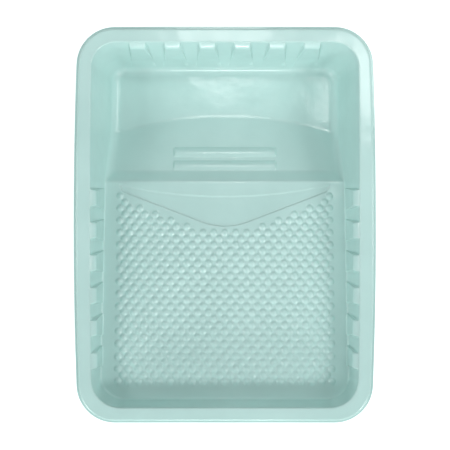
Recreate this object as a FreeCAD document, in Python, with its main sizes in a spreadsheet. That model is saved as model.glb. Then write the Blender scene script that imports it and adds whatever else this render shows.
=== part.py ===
import FreeCAD, Part
import math
import os
import Sketcher

# Paint roller tray for a 230 mm roller: one thin formed plastic sheet with a rim, a deep well, a step,
# a smooth drain panel and a ramp covered in raised bumps. The sheet is written as its formed regions,
# which meet face to face.
# Millimetres, +Z up, +Y towards the deep well. The origin is under the middle of the tray, level with
# the underside of the well. A depth is measured down from the top of the rim.

DIMENSIONS = (
    ("sheet_thickness", 1.0, "thickness of the formed sheet"),
    ("overall_height", 66.0, "underside of the well to the top of the rim"),
    ("half_width", 145.6, "middle of the tray to the trimmed edge, at mid-length"),
    ("half_length", 190.6, "middle of the tray to the trimmed edge at either end"),
    ("outer_corner", 37.0, "plan radius of the trimmed corners"),
    ("outer_side_radius", 4400.0, "plan radius of the slightly bowed long edges"),
    ("flange_width", 2.6, "trimmed flange outside the skirt"),
    ("skirt_depth", 4.6, "top of the rim to the underside of the trimmed flange"),
    ("shoulder_radius", 2.2, "rounding where the rim turns down into the skirt"),
    ("opening_half_width", 129.4, "middle to the inner edge of the rim, at mid-length"),
    ("opening_well_end", 174.9, "middle to the inner edge at the well end"),
    ("opening_shallow_end", 175.3, "middle to the inner edge at the shallow end"),
    ("opening_side_radius", 9500.0, "plan radius of the slightly bowed long walls"),
    ("well_corner", 24.0, "plan radius of the opening's corners at the well end"),
    ("shallow_corner", 28.0, "plan radius of the opening's corners at the shallow end"),
    ("lip_depth", 1.5, "depth of the rounded inner lip, and of the rib tops"),
    ("lip_radius", 1.3, "rounding of the inner lip"),
    ("wall_draft", 9.0, "lean of the walls, degrees"),
    ("shallow_draft", 4.7, "lean of the wall at the shallow end, degrees"),
    ("well_foot_radius", 9.0, "rounding at the foot of the walls around the well"),
    ("ramp_foot_radius", 2.5, "rounding at the foot of the walls around the ramp"),
    ("floor_line", 114.9, "middle to the line where the floor turns up, on the centre line"),
    ("floor_line_radius", 372.0, "plan radius of that line, bowed towards the well"),
    ("slope_angle", 14.2, "rise of the well's front slope, degrees"),
    ("step_angle", 37.8, "rise of the step below the crest, degrees"),
    ("crest_depth", 42.0, "depth of the crest, where the ramp starts"),
    ("crest_line", 45.0, "middle of the tray to the crest"),
    ("ramp_angle", 4.8, "rise of the ramp towards the shallow end, degrees"),
    ("panel_recess", 0.8, "how far the smooth drain panel lies below the ramp"),
    ("panel_half_width", 105.0, "middle to the drain panel's side corners"),
    ("panel_corner", 11.5, "crest to the drain panel's side corners"),
    ("panel_top_half_width", 109.0, "middle to the ends of the drain panel's top curve"),
    ("panel_top_corner", 3.3, "crest to the ends of the drain panel's top curve"),
    ("panel_top_radius", 490.0, "plan radius of the drain panel's edge below the crest"),
    ("panel_length", 47.0, "crest to the rounded point of the drain panel"),
    ("panel_point_radius", 66.0, "rounding of the drain panel's point"),
    ("rib_top_width", 15.2, "stacking rib, width at its top"),
    ("rib_flare", 5.5, "lean of a rib's flanks, degrees"),
    ("rib_top_stand", 0.9, "how far a rib's slanted top stands out of the opening's edge"),
    ("rib_slant", 3.4, "depth over which a rib's top slants out to its front"),
    ("rib_stand", 5.0, "how far the top of a rib's front stands out of the opening's edge"),
    ("rib_draft", 2.5, "lean of a rib's front, degrees"),
    ("rib_reach", 60.0, "depth to which a rib would run if nothing met it"),
    ("end_rib_pitch", 33.7, "spacing of the ribs on the well's end wall"),
    ("side_rib_pitch", 31.4, "spacing of the ribs beside the ramp"),
    ("first_side_rib", 26.0, "middle of the tray to the side rib nearest the crest"),
    ("bar_length", 108.0, "length of the two bars on the front slope"),
    ("bar_width", 10.6, "width of a bar"),
    ("bar_height", 1.8, "how far a bar stands out of the slope"),
    ("upper_bar_place", 61.7, "middle of the tray to the bar next to the step"),
    ("bar_pitch", 14.3, "spacing of the two bars"),
    ("bump_pitch", 11.03, "spacing of the bumps across the middle of the ramp"),
    ("bump_crowding", 0.0035, "how the spacing across closes up towards the side walls"),
    ("bump_row_pitch", 6.2, "spacing of the bump rows along the ramp"),
    ("bump_width", 7.4, "diameter of a bump at its foot"),
    ("bump_height", 1.5, "height of a bump"),
    ("last_bump_row", 156.0, "middle of the tray to the bump row nearest the shallow end"),
    ("floor_seam", 105.4, "middle to the seam between the well's floor and its side walls"),
    ("well_end_seam", 154.0, "middle to the seam between the well's floor and its end wall"),
    ("well_corner_seam", 150.9, "middle to the seam between the well's side walls and corners"),
    ("crest_seam", 45.4, "middle to the seam between the ramp and the step"),
    ("floor_line_seam", 0.8, "bowed floor line to the seam between the well's floor and front slope"),
    ("step_foot_seam", 55.8, "middle to the seam between the step and the front slope"),
    ("deck_seam", 114.0, "middle to the seam between the ramp and its side walls"),
    ("deck_end_seam", 163.0, "middle to the seam between the ramp and the shallow end wall"),
    ("shallow_corner_seam", 147.3, "middle to the seam between side walls and shallow corners"),
    ("end_wall_seam", 101.4, "middle to the seam between the shallow end wall and its corners"),
)
CELLS = {alias: f"Dimensions.{alias}" for alias, _, _ in DIMENSIONS}

END_RIBS = 6
SIDE_RIBS = 6
BUMP_ROWS = 31
HALF_ROW = 10  # bumps on each side of the middle one, in the rows that have a middle one
PANEL_ROW = 25  # the first row beside the drain panel, counted from the shallow end
PANEL_COLUMN = 3.5  # that row's innermost bumps, in pitches from the middle
PANEL_SHIFT = 1.5  # how much further out each following row starts, in pitches
OVERSIZE = 20  # how far a block that only cuts runs past what it cuts
SLOPE_OVERRUN = 3  # the front slope's block runs on this far under the floor and into the ramp's block
BUMP_ROOT = 0.3  # how far a bump's solid is let into the ramp before the two are fused
WALL_TILT = 0.3  # a face whose normal is flatter than this is a wall, any other is a floor

# Rotations to the tray's axes: from a sketch drawn in the Y-Z plane, from a wedge drawn with its Y
# axis upwards, and from a cylinder's own axis to the X axis.
UPRIGHT = FreeCAD.Rotation(FreeCAD.Vector(1, 1, 1), 120)
WEDGE_UP = FreeCAD.Rotation(FreeCAD.Vector(1, 0, 0), 90)
ALONG_X = FreeCAD.Rotation(FreeCAD.Vector(0, 1, 0), 90)
Z_AXIS = FreeCAD.Vector(0, 0, 1)

# Points of a sketch's geometry, and its own origin and axis, by the numbers that constraints use.
CENTRE, START, END = 3, 1, 2
ORIGIN, Y_AXIS = -1, -2

doc = FreeCAD.newDocument("paint_roller_tray")
sheet = doc.addObject("Spreadsheet::Sheet", "Dimensions")
for row, (alias, value, meaning) in enumerate(DIMENSIONS, start=1):
    sheet.set(f"A{row}", meaning)
    sheet.set(f"B{row}", str(value))
    sheet.setAlias(f"B{row}", alias)
doc.recompute()


# ---- Sizes and places bound to the sheet ----


def cells(text):
    """The expression with each {alias} written as its cell."""
    return text.format(**CELLS)


def size(text):
    """What an expression comes to now."""
    return float(sheet.evalExpression(cells(text)))


def bind(item, **expressions):
    """Binds properties of an object to expressions."""
    for name, text in expressions.items():
        item.setExpression(name, cells(text))
    return item


def place(item, x="0", y="0", z="0"):
    """Binds the coordinates of an object's Placement to expressions."""
    for axis, text in (("x", x), ("y", y), ("z", z)):
        item.setExpression(f"Placement.Base.{axis}", cells(text))
    return item


def drive(sketch, name, kind, where, text):
    """Adds a named dimension to a sketch and binds it to an expression."""
    index = sketch.addConstraint(Sketcher.Constraint(kind, *where, size(text)))
    sketch.renameConstraint(index, name)
    sketch.setExpression(f"Constraints.{name}", cells(text))


def fix_point(sketch, name, geometry, point, x, y):
    """Holds a point of a sketch at two bound coordinates."""
    drive(sketch, f"{name}_x", "DistanceX", (ORIGIN, START, geometry, point), x)
    drive(sketch, f"{name}_y", "DistanceY", (ORIGIN, START, geometry, point), y)


# ---- Sketches ----


def line(sketch, start, end):
    segment = Part.LineSegment(FreeCAD.Vector(*start), FreeCAD.Vector(*end))
    return sketch.addGeometry(segment, False)


def arc(sketch, centre, radius, start, end):
    circle = Part.Circle(FreeCAD.Vector(*centre), Z_AXIS, radius)
    return sketch.addGeometry(Part.ArcOfCircle(circle, start, end), False)


def outline(sketch, half_width, well_end, shallow_end, well_corner, shallow_corner, side_radius):
    """Draws the tray's plan: straight ends, round corners, and long sides that bow out a little."""
    w, top, bottom = size(half_width), size(well_end), -size(shallow_end)
    r1, r2, big = size(well_corner), size(shallow_corner), size(side_radius)
    middle, side_x = (top + bottom) / 2, w - big
    y1, y2 = top - r1, bottom + r2
    x1 = side_x + math.sqrt((big - r1) ** 2 - (y1 - middle) ** 2)
    x2 = side_x + math.sqrt((big - r2) ** 2 - (y2 - middle) ** 2)
    a1 = math.atan2(y1 - middle, x1 - side_x)
    a2 = math.atan2(middle - y2, x2 - side_x)
    quarter, half, full = math.pi / 2, math.pi, 2 * math.pi
    right = arc(sketch, (side_x, middle), big, -a2, a1)
    corner_1 = arc(sketch, (x1, y1), r1, a1, quarter)
    top_line = line(sketch, (x1, top), (-x1, top))
    corner_2 = arc(sketch, (-x1, y1), r1, quarter, half - a1)
    left = arc(sketch, (-side_x, middle), big, half - a1, half + a2)
    corner_3 = arc(sketch, (-x2, y2), r2, half + a2, half + quarter)
    bottom_line = line(sketch, (-x2, bottom), (x2, bottom))
    corner_4 = arc(sketch, (x2, y2), r2, half + quarter, full - a2)
    loop = (right, corner_1, top_line, corner_2, left, corner_3, bottom_line, corner_4)
    for first, second in zip(loop, loop[1:] + loop[:1]):
        sketch.addConstraint(Sketcher.Constraint("Tangent", first, END, second, START))
    for straight in (top_line, bottom_line):
        sketch.addConstraint(Sketcher.Constraint("Horizontal", straight))
    for first, second in ((corner_1, corner_2), (corner_3, corner_4), (right, left)):
        sketch.addConstraint(Sketcher.Constraint("Equal", first, second))
    mirror = ("Symmetric", right, CENTRE, left, CENTRE, Y_AXIS)
    sketch.addConstraint(Sketcher.Constraint(*mirror))
    drive(sketch, "side_radius", "Radius", (right,), side_radius)
    drive(sketch, "well_corner", "Radius", (corner_1,), well_corner)
    drive(sketch, "shallow_corner", "Radius", (corner_4,), shallow_corner)
    drive(sketch, "well_end", "DistanceY", (ORIGIN, START, top_line, START), well_end)
    drive(sketch, "shallow_end", "DistanceY", (bottom_line, START, ORIGIN, START), shallow_end)
    fix_point(
        sketch, "side_centre", right, CENTRE,
        f"({half_width}) - ({side_radius})", f"(({well_end}) - ({shallow_end})) / 2",
    )
    return sketch


def polygon(sketch, corners):
    """Draws a closed polygon whose corners are pairs of expressions."""
    at = [(size(x), size(y)) for x, y in corners]
    lines = [line(sketch, at[n], at[(n + 1) % len(at)]) for n in range(len(at))]
    for n, (x, y) in enumerate(corners):
        following = lines[(n + 1) % len(lines)]
        sketch.addConstraint(Sketcher.Constraint("Coincident", lines[n], END, following, START))
        fix_point(sketch, f"corner{n}", lines[n], START, x, y)
    return sketch


def sketch_in(body, name, height):
    """A sketch on a body's own XY plane, lifted to a height."""
    sketch = body.newObject("Sketcher::SketchObject", name)
    plane = next(f for f in body.Origin.OriginFeatures if f.Role == "XY_Plane")
    sketch.AttachmentSupport = (plane, "")
    sketch.MapMode = "FlatFace"
    sketch.setExpression("AttachmentOffset.Base.z", cells(height))
    return sketch


# ---- The two faces of the sheet ----
# Each face is a drafted basin from which blocks are cut: what rises from the basin's floor. The upper
# face is made with 0 and the lower face with the sheet's thickness in place of `inset`, which pulls
# every block in and lets the basin out by that much.


def basin_outline(sketch, depth, inset):
    """The plan of the walls at a depth."""
    run = f"({inset}) - ({depth}) * tan({{wall_draft}})"
    shallow_run = f"({inset}) - ({depth}) * tan({{shallow_draft}})"
    return outline(
        sketch,
        f"{{opening_half_width}} + {run}",
        f"{{opening_well_end}} + {run}",
        f"{{opening_shallow_end}} + {shallow_run}",
        f"{{well_corner}} + {run}",
        f"{{shallow_corner}} + {run}",
        "{opening_side_radius}",
    )


def basin(face, inset):
    """The basin between the walls, from below the lip down to the floor."""
    body = doc.addObject("PartDesign::Body", f"basin_{face}")
    floor_height = f"{{sheet_thickness}} - ({inset})"
    top = sketch_in(body, f"basin_top_{face}", "{overall_height} - {lip_depth}")
    floor = sketch_in(body, f"basin_floor_{face}", floor_height)
    basin_outline(top, "{lip_depth}", inset)
    basin_outline(floor, "{overall_height} - {sheet_thickness}", inset)
    loft = body.newObject("PartDesign::AdditiveLoft", f"basin_loft_{face}")
    loft.Profile = floor
    loft.Sections = [top]
    loft.Ruled = True
    return body


def set_back(inset):
    """How far back the lower face of the slopes lies, so that the step keeps the sheet's thickness."""
    return f"({inset}) * tan({{step_angle}} / 2)"


def ramp_block(face, inset):
    """The ramp and the step, as a long block."""
    profile = doc.addObject("Sketcher::SketchObject", f"ramp_profile_{face}")
    profile.Placement = FreeCAD.Placement(FreeCAD.Vector(), UPRIGHT)
    crest = f"{{crest_line}} - {set_back(inset)}"
    height = f"{{overall_height}} - {{crest_depth}} - ({inset})"
    polygon(profile, (
        (crest, height),
        ("-{half_length}", f"{height} + ({crest} + {{half_length}}) * tan({{ramp_angle}})"),
        ("-{half_length}", f"-{OVERSIZE}"),
        (f"{crest} + ({height} + {OVERSIZE}) / tan({{step_angle}})", f"-{OVERSIZE}"),
    ))
    block = doc.addObject("Part::Extrusion", f"ramp_block_{face}")
    block.Base = profile
    block.DirMode = "Normal"
    block.Solid = True
    block.Symmetric = True
    return bind(block, LengthFwd="2 * {half_width}")


def panel_sketch(name):
    """The drain panel's plan, with its origin on the crest: a rounded V with a long curve on top."""
    sketch = doc.addObject("Sketcher::SketchObject", name)
    half, corner = size("{panel_half_width}"), -size("{panel_corner}")
    wide, high = size("{panel_top_half_width}"), -size("{panel_top_corner}")
    top, point = size("{panel_top_radius}"), size("{panel_point_radius}")
    low = point - size("{panel_length}")
    reach = math.hypot(half, corner - low)
    tilt = math.asin(point / reach) - math.atan2(low - corner, half)
    touch_x, touch_y = point * math.sin(tilt), low - point * math.cos(tilt)
    swing = math.asin(wide / top)
    down = -math.pi / 2
    curve = arc(sketch, (0, high + top * math.cos(swing)), top, down - swing, down + swing)
    right_end = line(sketch, (wide, high), (half, corner))
    right = line(sketch, (half, corner), (touch_x, touch_y))
    tip = arc(sketch, (0, low), point, down - tilt, down + tilt)
    left = line(sketch, (-touch_x, touch_y), (-half, corner))
    left_end = line(sketch, (-half, corner), (-wide, high))
    sketch.addConstraint(Sketcher.Constraint("Coincident", curve, END, right_end, START))
    sketch.addConstraint(Sketcher.Constraint("Coincident", right_end, END, right, START))
    sketch.addConstraint(Sketcher.Constraint("Tangent", right, END, tip, END))
    sketch.addConstraint(Sketcher.Constraint("Tangent", tip, START, left, START))
    sketch.addConstraint(Sketcher.Constraint("Coincident", left, END, left_end, START))
    sketch.addConstraint(Sketcher.Constraint("Coincident", left_end, END, curve, START))
    drive(sketch, "top_radius", "Radius", (curve,), "{panel_top_radius}")
    drive(sketch, "point_radius", "Radius", (tip,), "{panel_point_radius}")
    fix_point(sketch, "top_right", right_end, START, "{panel_top_half_width}", "-{panel_top_corner}")
    fix_point(sketch, "top_left", left_end, END, "-{panel_top_half_width}", "-{panel_top_corner}")
    fix_point(sketch, "right", right, START, "{panel_half_width}", "-{panel_corner}")
    fix_point(sketch, "left", left, END, "-{panel_half_width}", "-{panel_corner}")
    fix_point(sketch, "tip", tip, CENTRE, "0", "{panel_point_radius} - {panel_length}")
    return sketch


def on_ramp(item, y, z):
    """Lays an object on a plane parallel to the ramp, through a point of the centre line."""
    item.Placement = FreeCAD.Placement(
        FreeCAD.Vector(), FreeCAD.Rotation(FreeCAD.Vector(-1, 0, 0), size("{ramp_angle}"))
    )
    item.setExpression("Placement.Rotation.Angle", cells("{ramp_angle} * 1 deg"))
    return place(item, y=y, z=z)


def panel_hollow(face, inset):
    """The space over the drain panel, let down into the ramp."""
    sketch = panel_sketch(f"panel_sketch_{face}")
    on_ramp(
        sketch, f"{{crest_line}} - {set_back(inset)}",
        f"{{overall_height}} - {{crest_depth}} - {{panel_recess}} - ({inset})",
    )
    hollow = doc.addObject("Part::Extrusion", f"panel_hollow_{face}")
    hollow.Base = sketch
    hollow.DirMode = "Normal"
    hollow.Solid = True
    return bind(hollow, LengthFwd="2 * {panel_recess}")


def slope_sketch(name):
    """The plan of the front slope at floor level: its front edge is the bowed floor line."""
    sketch = doc.addObject("Sketcher::SketchObject", name)
    half, line_y = size("{half_width}"), size("{floor_line}")
    radius = size("{floor_line_radius}")
    swing = math.asin(half / radius)
    side_y = line_y - radius + radius * math.cos(swing)
    up = math.pi / 2
    front = arc(sketch, (0, line_y - radius), radius, up - swing, up + swing)
    left = line(sketch, (-half, side_y), (-half, 0))
    back = line(sketch, (-half, 0), (half, 0))
    right = line(sketch, (half, 0), (half, side_y))
    loop = (front, left, back, right)
    for first, second in zip(loop, loop[1:] + loop[:1]):
        sketch.addConstraint(Sketcher.Constraint("Coincident", first, END, second, START))
    drive(sketch, "radius", "Radius", (front,), "{floor_line_radius}")
    fix_point(sketch, "centre", front, CENTRE, "0", "{floor_line} - {floor_line_radius}")
    for straight in (left, right):
        sketch.addConstraint(Sketcher.Constraint("Vertical", straight))
    fix_point(sketch, "back_left", back, START, "-{half_width}", "0")
    fix_point(sketch, "back_right", back, END, "{half_width}", "0")
    return sketch


def slope_section(name, share, crease):
    """The front slope's section at a share of the half width, run out a little at both ends."""
    x = f"{share} * {{half_width}}"
    foot = f"{{floor_line}} - {{floor_line_radius}} + sqrt({{floor_line_radius}} ^ 2 - ({x}) ^ 2)"
    rise = f"({{floor_line}} - ({crease})) * tan({{slope_angle}})"
    pitch = f"({rise}) / ({foot} - ({crease}))"
    sketch = doc.addObject("Sketcher::SketchObject", name)
    sketch.Placement = FreeCAD.Placement(FreeCAD.Vector(), UPRIGHT)
    back = f"{crease} - {SLOPE_OVERRUN}"
    polygon(sketch, (
        (f"{foot} + {SLOPE_OVERRUN}", f"-{SLOPE_OVERRUN} * {pitch}"),
        (back, f"{rise} + {SLOPE_OVERRUN} * {pitch}"),
        (back, f"-{SLOPE_OVERRUN}"),
    ))
    return place(sketch, x=x)


def slope_block(face, inset):
    """The front slope: straight lines from the bowed floor line up to the straight foot of the step."""
    crest = "{overall_height} - {crest_depth} - {sheet_thickness} + {crest_line} * tan({step_angle})"
    floor = "{floor_line} * tan({slope_angle})"
    crease = f"({crest} - {floor}) / (tan({{step_angle}}) - tan({{slope_angle}}))"
    block = doc.addObject("Part::Loft", f"slope_block_{face}")
    block.Sections = [
        slope_section(f"slope_section_{n}_{face}", share, crease)
        for n, share in enumerate((-1, -0.5, 0, 0.5, 1))
    ]
    block.Solid = True
    block.Ruled = False
    return place(block, y=f"-{set_back(inset)}", z=f"{{sheet_thickness}} - ({inset})")


def bar(name, y, inset):
    """One rounded bar lying across the front slope."""
    whole = "({bar_width} ^ 2 / 4 + {bar_height} ^ 2) / (2 * {bar_height})"
    sunk = f"({whole} - {{bar_height}})"
    rod = doc.addObject("Part::Cylinder", name)
    rod.Placement = FreeCAD.Placement(FreeCAD.Vector(), ALONG_X)
    bind(rod, Radius=f"{whole} - ({inset})", Height=f"{{bar_length}} - 2 * ({inset})")
    return place(
        rod,
        f"({inset}) - {{bar_length}} / 2",
        f"({y}) - {sunk} * sin({{slope_angle}})",
        f"{{sheet_thickness}} + ({{floor_line}} - ({y})) * tan({{slope_angle}})"
        f" - {sunk} * cos({{slope_angle}})",
    )


def rib_part(name, turn, low, high, foot, top):
    """A wedge between two heights; each end has a half width and a distance out of the wall."""
    wedge = doc.addObject("Part::Wedge", name)
    turned = FreeCAD.Rotation(Z_AXIS, turn) * WEDGE_UP
    wedge.Placement = FreeCAD.Placement(FreeCAD.Vector(), turned)
    return bind(
        wedge,
        Ymin=low, Ymax=high, Zmin=f"-{OVERSIZE}", Z2min=f"-{OVERSIZE}",
        Xmin=f"-{foot[0]}", Xmax=foot[0], X2min=f"-{top[0]}", X2max=top[0],
        Zmax=foot[1], Z2max=top[1],
    )


def rib(name, x, y, turn, inset):
    """One stacking rib: wider and further out towards its foot, with a slanted top under the lip."""
    top = (f"({{rib_top_width}} / 2 - ({inset}))", f"({{rib_top_stand}} - ({inset}))")
    edge = (f"({top[0]} + {{rib_slant}} * tan({{rib_flare}}))", f"({{rib_stand}} - ({inset}))")
    foot = (
        f"({top[0]} + {{rib_reach}} * tan({{rib_flare}}))",
        f"{edge[1]} + {{rib_reach}} * tan({{rib_draft}})",
    )
    high = f"{{rib_reach}} - {{lip_depth}} - ({inset})"
    low = f"{high} - {{rib_slant}}"
    parts = (
        rib_part(f"{name}_front", turn, "0", low, foot, edge),
        rib_part(f"{name}_top", turn, low, high, edge, top),
    )
    return [place(part, x, y, "{overall_height} - {rib_reach}") for part in parts]


def ribs(face, inset):
    """Six ribs on the well's end wall, and six on each wall beside the ramp."""
    made = []
    for n in range(END_RIBS):
        x = f"({n} - {(END_RIBS - 1) / 2}) * {{end_rib_pitch}}"
        made.extend(rib(f"end_rib_{n}_{face}", x, "{opening_well_end}", 0, inset))
    for n in range(SIDE_RIBS):
        y = f"{{first_side_rib}} - {n} * {{side_rib_pitch}}"
        wall = f"({{opening_half_width}} - ({y}) ^ 2 / (2 * {{opening_side_radius}}))"
        made.extend(rib(f"left_rib_{n}_{face}", f"-{wall}", y, 90, inset))
        made.extend(rib(f"right_rib_{n}_{face}", wall, y, -90, inset))
    return made


def join(kind, name, shapes):
    """A boolean of many shapes."""
    made = doc.addObject(kind, name)
    made.Shapes = shapes
    return made


def pair(kind, name, base, tool):
    """A boolean of two shapes."""
    made = doc.addObject(kind, name)
    made.Base = base
    made.Tool = tool
    return made


def is_foot(edge, shape):
    """True for an edge where a wall meets the floor, the slope, the step or the ramp."""
    tilts = []
    for face in shape.ancestorsOfType(edge, Part.Face):
        middle = edge.valueAt((edge.FirstParameter + edge.LastParameter) / 2)
        u, v = face.Surface.parameter(middle)
        tilts.append(abs(face.normalAt(u, v).z))
    low = edge.BoundBox.ZMax < size("{overall_height} - {lip_depth}") - 1
    return low and min(tilts) < WALL_TILT < max(tilts)


def foot_radius(edge, inset):
    """The rounding of one foot edge: tighter around the ramp than around the well."""
    by_ramp = edge.BoundBox.YMax < size("{crest_line}") + 1
    name = "{ramp_foot_radius}" if by_ramp else "{well_foot_radius}"
    return size(f"{name} + {inset}")


def sheet_face(face, inset):
    """Everything above one face of the sheet, up to the underside of the lip."""
    rises = join("Part::MultiFuse", f"rises_{face}", [ramp_block(face, inset), slope_block(face, inset)])
    bare = pair("Part::Cut", f"bare_{face}", basin(face, inset), rises)
    doc.recompute()
    rounded = doc.addObject("Part::Fillet", f"rounded_{face}")
    rounded.Base = bare
    rounded.Edges = [
        (n, foot_radius(edge, inset), foot_radius(edge, inset))
        for n, edge in enumerate(bare.Shape.Edges, start=1)
        if is_foot(edge, bare.Shape)
    ]
    open_space = pair("Part::Fuse", f"open_space_{face}", rounded, panel_hollow(face, inset))
    bars = [
        bar(f"bar_{n}_{face}", f"{{upper_bar_place}} + {n} * {{bar_pitch}}", inset)
        for n in range(2)
    ]
    details = join("Part::MultiFuse", f"details_{face}", bars + ribs(face, inset))
    return pair("Part::Cut", f"above_{face}_face", open_space, details)


above = sheet_face("upper", "0")
below = sheet_face("lower", "{sheet_thickness}")
shell = pair("Part::Cut", "formed_sheet", below, above)


# ---- The sheet's regions ----


def block(name, left, right, front, back):
    """A block over the sheet's whole depth between four seams, each an expression."""
    box = doc.addObject("Part::Box", name)
    depth = f"{{overall_height}} + 2 * {OVERSIZE}"
    bind(box, Length=f"({right}) - ({left})", Width=f"({back}) - ({front})", Height=depth)
    return place(box, left, front, f"-{OVERSIZE}")


def region(name, inside, outside=None):
    """A named region: the sheet within a block, less what another block takes."""
    if outside is None:
        made = pair("Part::Common", name, shell, inside)
    else:
        kept = pair("Part::Cut", f"{name}_block", inside, outside)
        made = pair("Part::Common", name, shell, kept)
    made.Label = name
    return made


def prism(name, base, reach):
    """A sketch run out both ways from its own plane."""
    made = doc.addObject("Part::Extrusion", name)
    made.Base = base
    made.DirMode = "Normal"
    made.Solid = True
    made.Symmetric = True
    return bind(made, LengthFwd=reach)


far_x = "({half_width} + 1)"
far_y = "({half_length} + 1)"
crest_height = "{overall_height} - {crest_depth}"
floor_x = "{floor_seam}"
deck_x = "{deck_seam}"

slope_plan = place(slope_sketch("slope_plan"), y="{floor_line_seam}")
slope_prism = prism("slope_prism", slope_plan, "4 * {overall_height}")
floor_strip = block(
    "floor_strip", f"-{floor_x}", floor_x, "{step_foot_seam}", "{well_end_seam}",
)
regions = [
    region("well_floor", floor_strip, slope_prism),
    region("well_front_slope", pair("Part::Common", "slope_strip", floor_strip, slope_prism)),
    region("ramp_step", block(
        "step_strip", f"-{floor_x}", floor_x, "{crest_seam}", "{step_foot_seam}",
    )),
    region("well_end_wall", block(
        "well_end_strip", f"-{floor_x}", floor_x, "{well_end_seam}", far_y,
    )),
]

deck_block = block("deck_block", f"-{deck_x}", deck_x, "-{deck_end_seam}", "{crest_seam}")
smooth_plan = doc.addObject("Sketcher::SketchObject", "smooth_plan")
polygon(smooth_plan, (
    ("{panel_top_half_width}", "1"),
    ("{panel_top_half_width}", "-{panel_top_corner}"),
    ("{panel_half_width}", "-{panel_corner}"),
    ("0", "-{panel_length}"),
    ("-{panel_half_width}", "-{panel_corner}"),
    ("-{panel_top_half_width}", "-{panel_top_corner}"),
    ("-{panel_top_half_width}", "1"),
))
panel_prisms = [
    prism(f"{plan.Name}_prism", on_ramp(plan, "{crest_line}", crest_height), "{crest_depth}")
    for plan in (panel_sketch("panel_plan"), smooth_plan)
]
panel_block = pair(
    "Part::Common", "panel_block", pair("Part::Fuse", "smooth_block", *panel_prisms), deck_block,
)
regions.append(region("drain_panel", panel_block))
plain_deck = region("plain_ramp", deck_block, panel_block)
regions.append(region("shallow_end_wall", block(
    "shallow_end_strip", "-{end_wall_seam}", "{end_wall_seam}", f"-{far_y}", "-{deck_end_seam}",
)))

for side in ("left", "right"):

    def beside(name, inner, front, back):
        """A block from a seam out past the long edge, on this side of the tray."""
        if side == "left":
            return block(f"{name}_{side}", f"-{far_x}", f"-{inner}", front, back)
        return block(f"{name}_{side}", inner, far_x, front, back)

    well_side = beside("well_side", floor_x, "{crest_seam}", "{well_corner_seam}")
    well_corner = beside("well_corner_block", floor_x, "{well_corner_seam}", far_y)
    ramp_side = beside("ramp_side", deck_x, "-{shallow_corner_seam}", "{crest_seam}")
    shallow = beside("shallow_block", "{end_wall_seam}", f"-{far_y}", "-{shallow_corner_seam}")
    regions.append(region(f"well_side_wall_{side}", well_side))
    regions.append(region(f"well_corner_{side}", well_corner))
    regions.append(region(f"ramp_side_wall_{side}", ramp_side))
    regions.append(region(f"shallow_corner_{side}", shallow, deck_block))


# ---- Bumps ----


def bump_columns(row):
    """Where a row's bumps stand, in pitches from the middle: every other row is shifted by a half."""
    half = HALF_ROW - (row % 2) / 2
    columns = [n - half for n in range(int(2 * half) + 1)]
    if row < PANEL_ROW:
        return columns
    first = min(PANEL_COLUMN + PANEL_SHIFT * (row - PANEL_ROW), HALF_ROW)
    return [n for n in columns if abs(n) >= first]


def bump_centres():
    """The bumps' centres in the plane of the ramp, measured from the middle of the crest."""
    pitch, crowding = size("{bump_pitch}"), size("{bump_crowding}")
    start = size("-({crest_line} + {last_bump_row}) / cos({ramp_angle})")
    rows = size("{bump_row_pitch}")
    return [
        (pitch * n - crowding * n**3, start + rows * row)
        for row in range(BUMP_ROWS)
        for n in bump_columns(row)
    ]


bump_radius = size("({bump_width} ^ 2 / 4 + {bump_height} ^ 2) / (2 * {bump_height})")
bump_sink = bump_radius - size("{bump_height}")


def caps(name, radius, foot):
    """The upper parts of balls, one to a bump, cut off at a level measured from the ramp's surface."""
    low = math.degrees(math.asin((bump_sink + foot) / radius))
    balls = [
        Part.makeSphere(radius, FreeCAD.Vector(x, y, -bump_sink), Z_AXIS, low, 90, 360)
        for x, y in bump_centres()
    ]
    made = doc.addObject("Part::Feature", name)
    made.Shape = Part.makeCompound(balls)
    return on_ramp(made, "{crest_line}", crest_height)


thickness = size("{sheet_thickness}")
bumps = caps("bumps", bump_radius, -BUMP_ROOT)
hollows = caps("bump_hollows", bump_radius - thickness, -thickness - BUMP_ROOT)
bumpy = pair("Part::Fuse", "bumpy_ramp", plain_deck, bumps)
ramp_deck = pair("Part::Cut", "ramp_deck", bumpy, hollows)
regions.append(ramp_deck)


# ---- The rim ----

rim = doc.addObject("PartDesign::Body", "rim")


def rim_outline(name, height, pulled_in):
    """The plan of the trimmed edge, pulled in by a distance."""
    sketch = sketch_in(rim, name, height)
    return outline(
        sketch,
        f"{{half_width}} - ({pulled_in})",
        f"{{half_length}} - ({pulled_in})",
        f"{{half_length}} - ({pulled_in})",
        f"{{outer_corner}} - ({pulled_in})",
        f"{{outer_corner}} - ({pulled_in})",
        f"{{outer_side_radius}} - ({pulled_in})",
    )


def pad(name, sketch, length):
    made = rim.newObject("PartDesign::Pad", name)
    made.Profile = sketch
    return bind(made, Length=length)


def pocket(name, sketch, length, upwards):
    """A pocket in the rim, down from its sketch or upwards."""
    before = rim.Shape.Volume
    made = rim.newObject("PartDesign::Pocket", name)
    made.Profile = sketch
    made.Reversed = upwards
    bind(made, Length=length)
    doc.recompute()
    assert rim.Shape.Volume < before, f"{name} takes nothing away"
    return made


def rounding(name, radius, height, inner):
    """Rounds the rim's edges at a height, either the ones around the opening or the outer ones."""
    doc.recompute()
    level, inside = size(height), size("{opening_half_width} + {lip_radius} + {sheet_thickness}")
    chosen = [
        f"Edge{n}"
        for n, edge in enumerate(rim.Shape.Edges, start=1)
        if abs(edge.BoundBox.ZMin - level) < 0.01
        and abs(edge.BoundBox.ZMax - level) < 0.01
        and (reaches(edge) < inside) == inner
    ]
    base = rim.Tip
    made = rim.newObject("PartDesign::Fillet", name)
    made.Base = (base, chosen)
    return bind(made, Radius=radius)


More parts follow.
